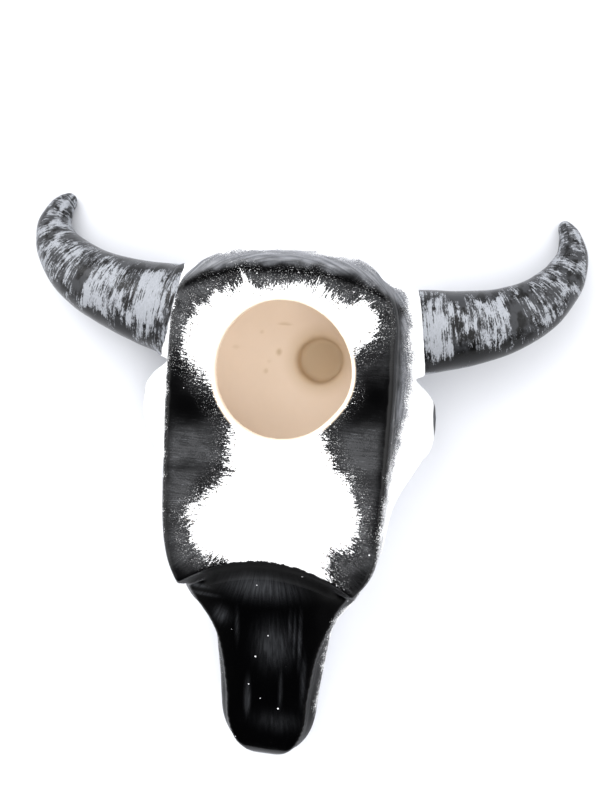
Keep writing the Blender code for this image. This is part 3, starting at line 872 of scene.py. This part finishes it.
# Thick black is glossy, chalky black satin, and clay and white are matt
gloss = paint.more_of(paint.ramp(chalky_and_sheen, 0.0, 1.0, 0.13, 0.30), paint.reading("matt"))
gloss = paint.more_of(gloss, paint.times(paint.ramp(to_clay, -1.5, 0.5), 0.85))
gloss = paint.more_of(gloss, paint.times(in_white, 0.45))
paint.put(paint.surface.inputs["Roughness"], gloss)
paint.put(paint.surface.inputs["Specular IOR Level"], PAINT_SPECULAR)
brushed = paint.times(streaks, paint.ramp(paint.reading("chalk_and_sheen"), 0.0, 0.4, 0.4, 1.0))
paint.put(paint.surface.inputs["Normal"], paint.relief(brushed, 0.025))
mesh.materials.clear()
mesh.materials.append(paint.owner)
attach(casting, "root")
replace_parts(casting, "cranium", "muzzle")

# The horns: cast with the skull, painted black and then dry-brushed pale grey round and round.
# Each is a thick tapering curve from its boss to a blunt tip near the table: (x, y, z, radius).
HORN_RIGHT = (
    (52.9, 68.6, 22.0, 17.3), (66.0, 70.6, 22.0, 15.9), (79.6, 73.6, 21.0, 14.1),
    (92.0, 78.8, 19.4, 12.4), (101.9, 86.6, 16.8, 10.5), (108.7, 96.0, 13.2, 8.3),
    (111.4, 105.0, 9.4, 6.2), (110.6, 112.0, 6.2, 4.6), (108.6, 117.5, 2.5, 2.9),
)
HORN_LEFT = (
    (-53.0, 71.0, 22.5, 19.3), (-64.0, 73.0, 22.3, 17.6), (-76.0, 76.2, 21.4, 15.8),
    (-90.0, 81.4, 19.4, 14.1), (-101.0, 88.6, 16.8, 12.0), (-109.2, 97.6, 13.0, 9.2),
    (-112.2, 106.0, 9.2, 7.1), (-111.0, 112.6, 6.4, 5.5), (-108.4, 117.8, 3.2, 3.6),
)
HORN_TIP_LENGTH, HORN_TIP_ROUND, HORN_SUNK = 2.6, 4.0, 1.6
HORN_SIDES, HORN_RINGS = 160, 260
HORN_LUMP_SPAN, HORN_LUMPS = 9.0, 0.22

horn_paint = Finish(bpy.data.materials.new("dry_brushed_horn"))
colour, dry = dry_brushed(horn_paint)
horn_paint.put(horn_paint.surface.inputs["Base Color"], colour)
horn_paint.put(horn_paint.surface.inputs["Roughness"], horn_paint.ramp(dry, 0.0, 1.0, 0.22, 0.5))
horn_paint.put(horn_paint.surface.inputs["Specular IOR Level"], PAINT_SPECULAR)
horn_paint.put(horn_paint.surface.inputs["Normal"], horn_paint.relief(dry, 0.05))


def horn(name, knots, less_grey):
    """One horn swept along its knots, with the readings that its brush strokes follow."""
    knots = np.array(knots)
    steps = np.linalg.norm(np.diff(knots[:, :3], axis=0), axis=1)
    along = np.concatenate([[0], np.cumsum(steps)])
    px, py, pz, radius = (eased(*zip(along, knots[:, i])) for i in range(4))
    end = along[-1] + HORN_TIP_LENGTH
    rings, marks = [], []
    turn = np.arange(HORN_SIDES) / HORN_SIDES * 2 * math.pi
    for at in crowded(-HORN_SUNK, end - 0.05, HORN_RINGS, ((end, 7.0, 3),)):
        inside = min(max(at, 0), along[-1])
        here = np.array([px(inside), py(inside), pz(inside)])
        ahead = np.array([f(min(inside + 0.5, along[-1])) for f in (px, py, pz)])
        behind = np.array([f(max(inside - 0.5, 0)) for f in (px, py, pz)])
        axis = (ahead - behind) / np.linalg.norm(ahead - behind)
        here = here + axis * (at - inside)
        size = radius(inside) * rounding(at, end - HORN_TIP_ROUND, end, 2.0)
        ring = ring_about(here, axis, size, HORN_SIDES)
        round_it = [np.cos(turn), np.sin(turn), np.full(HORN_SIDES, at / HORN_GIRTH)]
        rings.append(ring)
        marks.append(HORN_GIRTH * np.column_stack(round_it))
    rings, marks = np.array(rings), np.array(marks)
    points = rings.reshape(-1, 3)
    lumps = np.array([noise.noise(Vector(p) / HORN_LUMP_SPAN) for p in points])
    lumps = lumps.reshape(rings.shape[:2])
    out = rings - rings.mean(axis=1, keepdims=True)
    far = np.linalg.norm(out, axis=2, keepdims=True)
    swell = lumps[..., None] * HORN_LUMPS * np.clip(far / 4, 0, 1)
    rings = rings + out / np.maximum(far, 1e-6) * swell
    rings[..., 2] = np.maximum(rings[..., 2], 0.02)
    piece = shell(name, rings)
    tips = np.array([[0, 0, 0], [0, 0, end]])
    mark(piece.data, "round_and_along", np.vstack([marks.reshape(-1, 3), tips]))
    under = np.concatenate([(-out[..., 1] / np.maximum(far[..., 0], 1e-6)).ravel(), [0, 0]])
    mark(piece.data, "nose_side", under)
    from_boss = np.concatenate([marks[..., 2].ravel(), [0, end]])
    mark(piece.data, "less_grey", less_grey - 0.07 * soft_step((15 - from_boss) / 11))
    piece.data.polygons.foreach_set("use_smooth", [True] * len(piece.data.polygons))
    piece.data.materials.clear()
    piece.data.materials.append(horn_paint.owner)
    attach(piece, "root")
    return piece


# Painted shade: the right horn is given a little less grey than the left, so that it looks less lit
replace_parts(horn("right_horn", HORN_RIGHT, 0.03), "horn_right")
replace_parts(horn("left_horn", HORN_LEFT, 0.0), "horn_left")

# The table that it lies on: a plain white board, matt and nearly even in tone. It is only
# the stage. The casting rests on it, and both horn tips end just above it.
BOARD_PALE, BOARD_DULL = (0.62, 0.63, 0.66, 1), (0.60, 0.61, 0.64, 1)
floor_mesh = bpy.data.meshes.new("white_board")
floor_mesh.from_pydata([(-6, -6, 0), (6, -6, 0), (6, 6, 0), (-6, 6, 0)], [], [(0, 1, 2, 3)])
floor = bpy.data.objects.new("white_board", floor_mesh)
bpy.context.scene.collection.objects.link(floor)
board = Finish(bpy.data.materials.new("white_board"))
tone = board.grain(board.here(300.0), 1.0)
board.put(board.surface.inputs["Base Color"], board.over(tone, BOARD_PALE, BOARD_DULL))
board.put(board.surface.inputs["Roughness"], 0.9)
board.put(board.surface.inputs["Specular IOR Level"], 0.1)
floor_mesh.materials.append(board.owner)

# The light: a white room all round, brightest overhead, with a dark patch above the nose side
# and a darker far end for the black paint to reflect. A window high up at the left and a soft
# fill above the nose light the piece itself.
ROOM_WHITE = (0.985, 0.99, 1.0, 1)
room = Finish(bpy.data.worlds.new("white_room"))
bpy.context.scene.world = room.owner
facing = room.add("ShaderNodeTexCoord", {}).outputs["Generated"]
across, towards, height = room.add("ShaderNodeSeparateXYZ", {0: facing}).outputs
aside = room.maths("ADD", across, 0.13)
beyond = room.more_of(room.maths("ADD", towards, 0.16), 0.0)
from_patch = room.raised(room.times(aside, aside), beyond, beyond)
dark_patch = room.ramp(room.maths("SQRT", from_patch), 0.22, 0.50, 0.03, 1.0)
far_end = room.ramp(towards, -0.75, -0.35, 0.10, 1.0)
far_end = room.more_of(far_end, room.ramp(height, 0.30, 0.14))
brightness = room.times(room.ramp(height, 0.0, 0.9, 1.25, 2.6), room.times(dark_patch, far_end))
background = room.tree.nodes["Background"]
background.inputs["Color"].default_value = ROOM_WHITE
room.put(background.inputs["Strength"], brightness)


def lamp(name, wide, high, watts, place):
    """A soft lamp that faces the middle of the casting."""
    light = bpy.data.lights.new(name, "AREA")
    light.shape = "RECTANGLE"
    light.size, light.size_y = wide, high
    light.energy = watts
    obj = bpy.data.objects.new(name, light)
    bpy.context.scene.collection.objects.link(obj)
    obj.location = place
    facing = Vector((0, 0.02, 0.02)) - obj.location
    obj.rotation_euler = facing.to_track_quat("-Z", "Y").to_euler()
    return obj


lamp("window", 0.9, 0.7, 6, (-0.45, 0.75, 0.85))
lamp("fill", 1.2, 1.2, 9, (0.1, -0.55, 1.0)).visible_glossy = False

bpy.context.scene.view_settings.view_transform = "Standard"

# The camera stands over the piece, a little towards the right horn and turned a few degrees.
# Its place and lens put the horn tips, the nose and the hole where the photograph has them.
camera = bpy.data.cameras.new("camera")
camera.lens = 38.25
camera.sensor_width = 36
camera.clip_start = 0.01
camera_at = bpy.data.objects.new("camera", camera)
bpy.context.scene.collection.objects.link(camera_at)
right = Vector((0.98945307, 0.0741685, -0.12442532))
up = Vector((-0.08011345, 0.99583745, -0.04346961))
back = Vector((0.12068332, 0.05297928, 0.99127631))
stand = Matrix((right, up, back)).transposed().to_4x4()
stand.translation = (0.047358, 0.055768, 0.374072)
camera_at.matrix_world = stand
bpy.context.scene.camera = camera_at
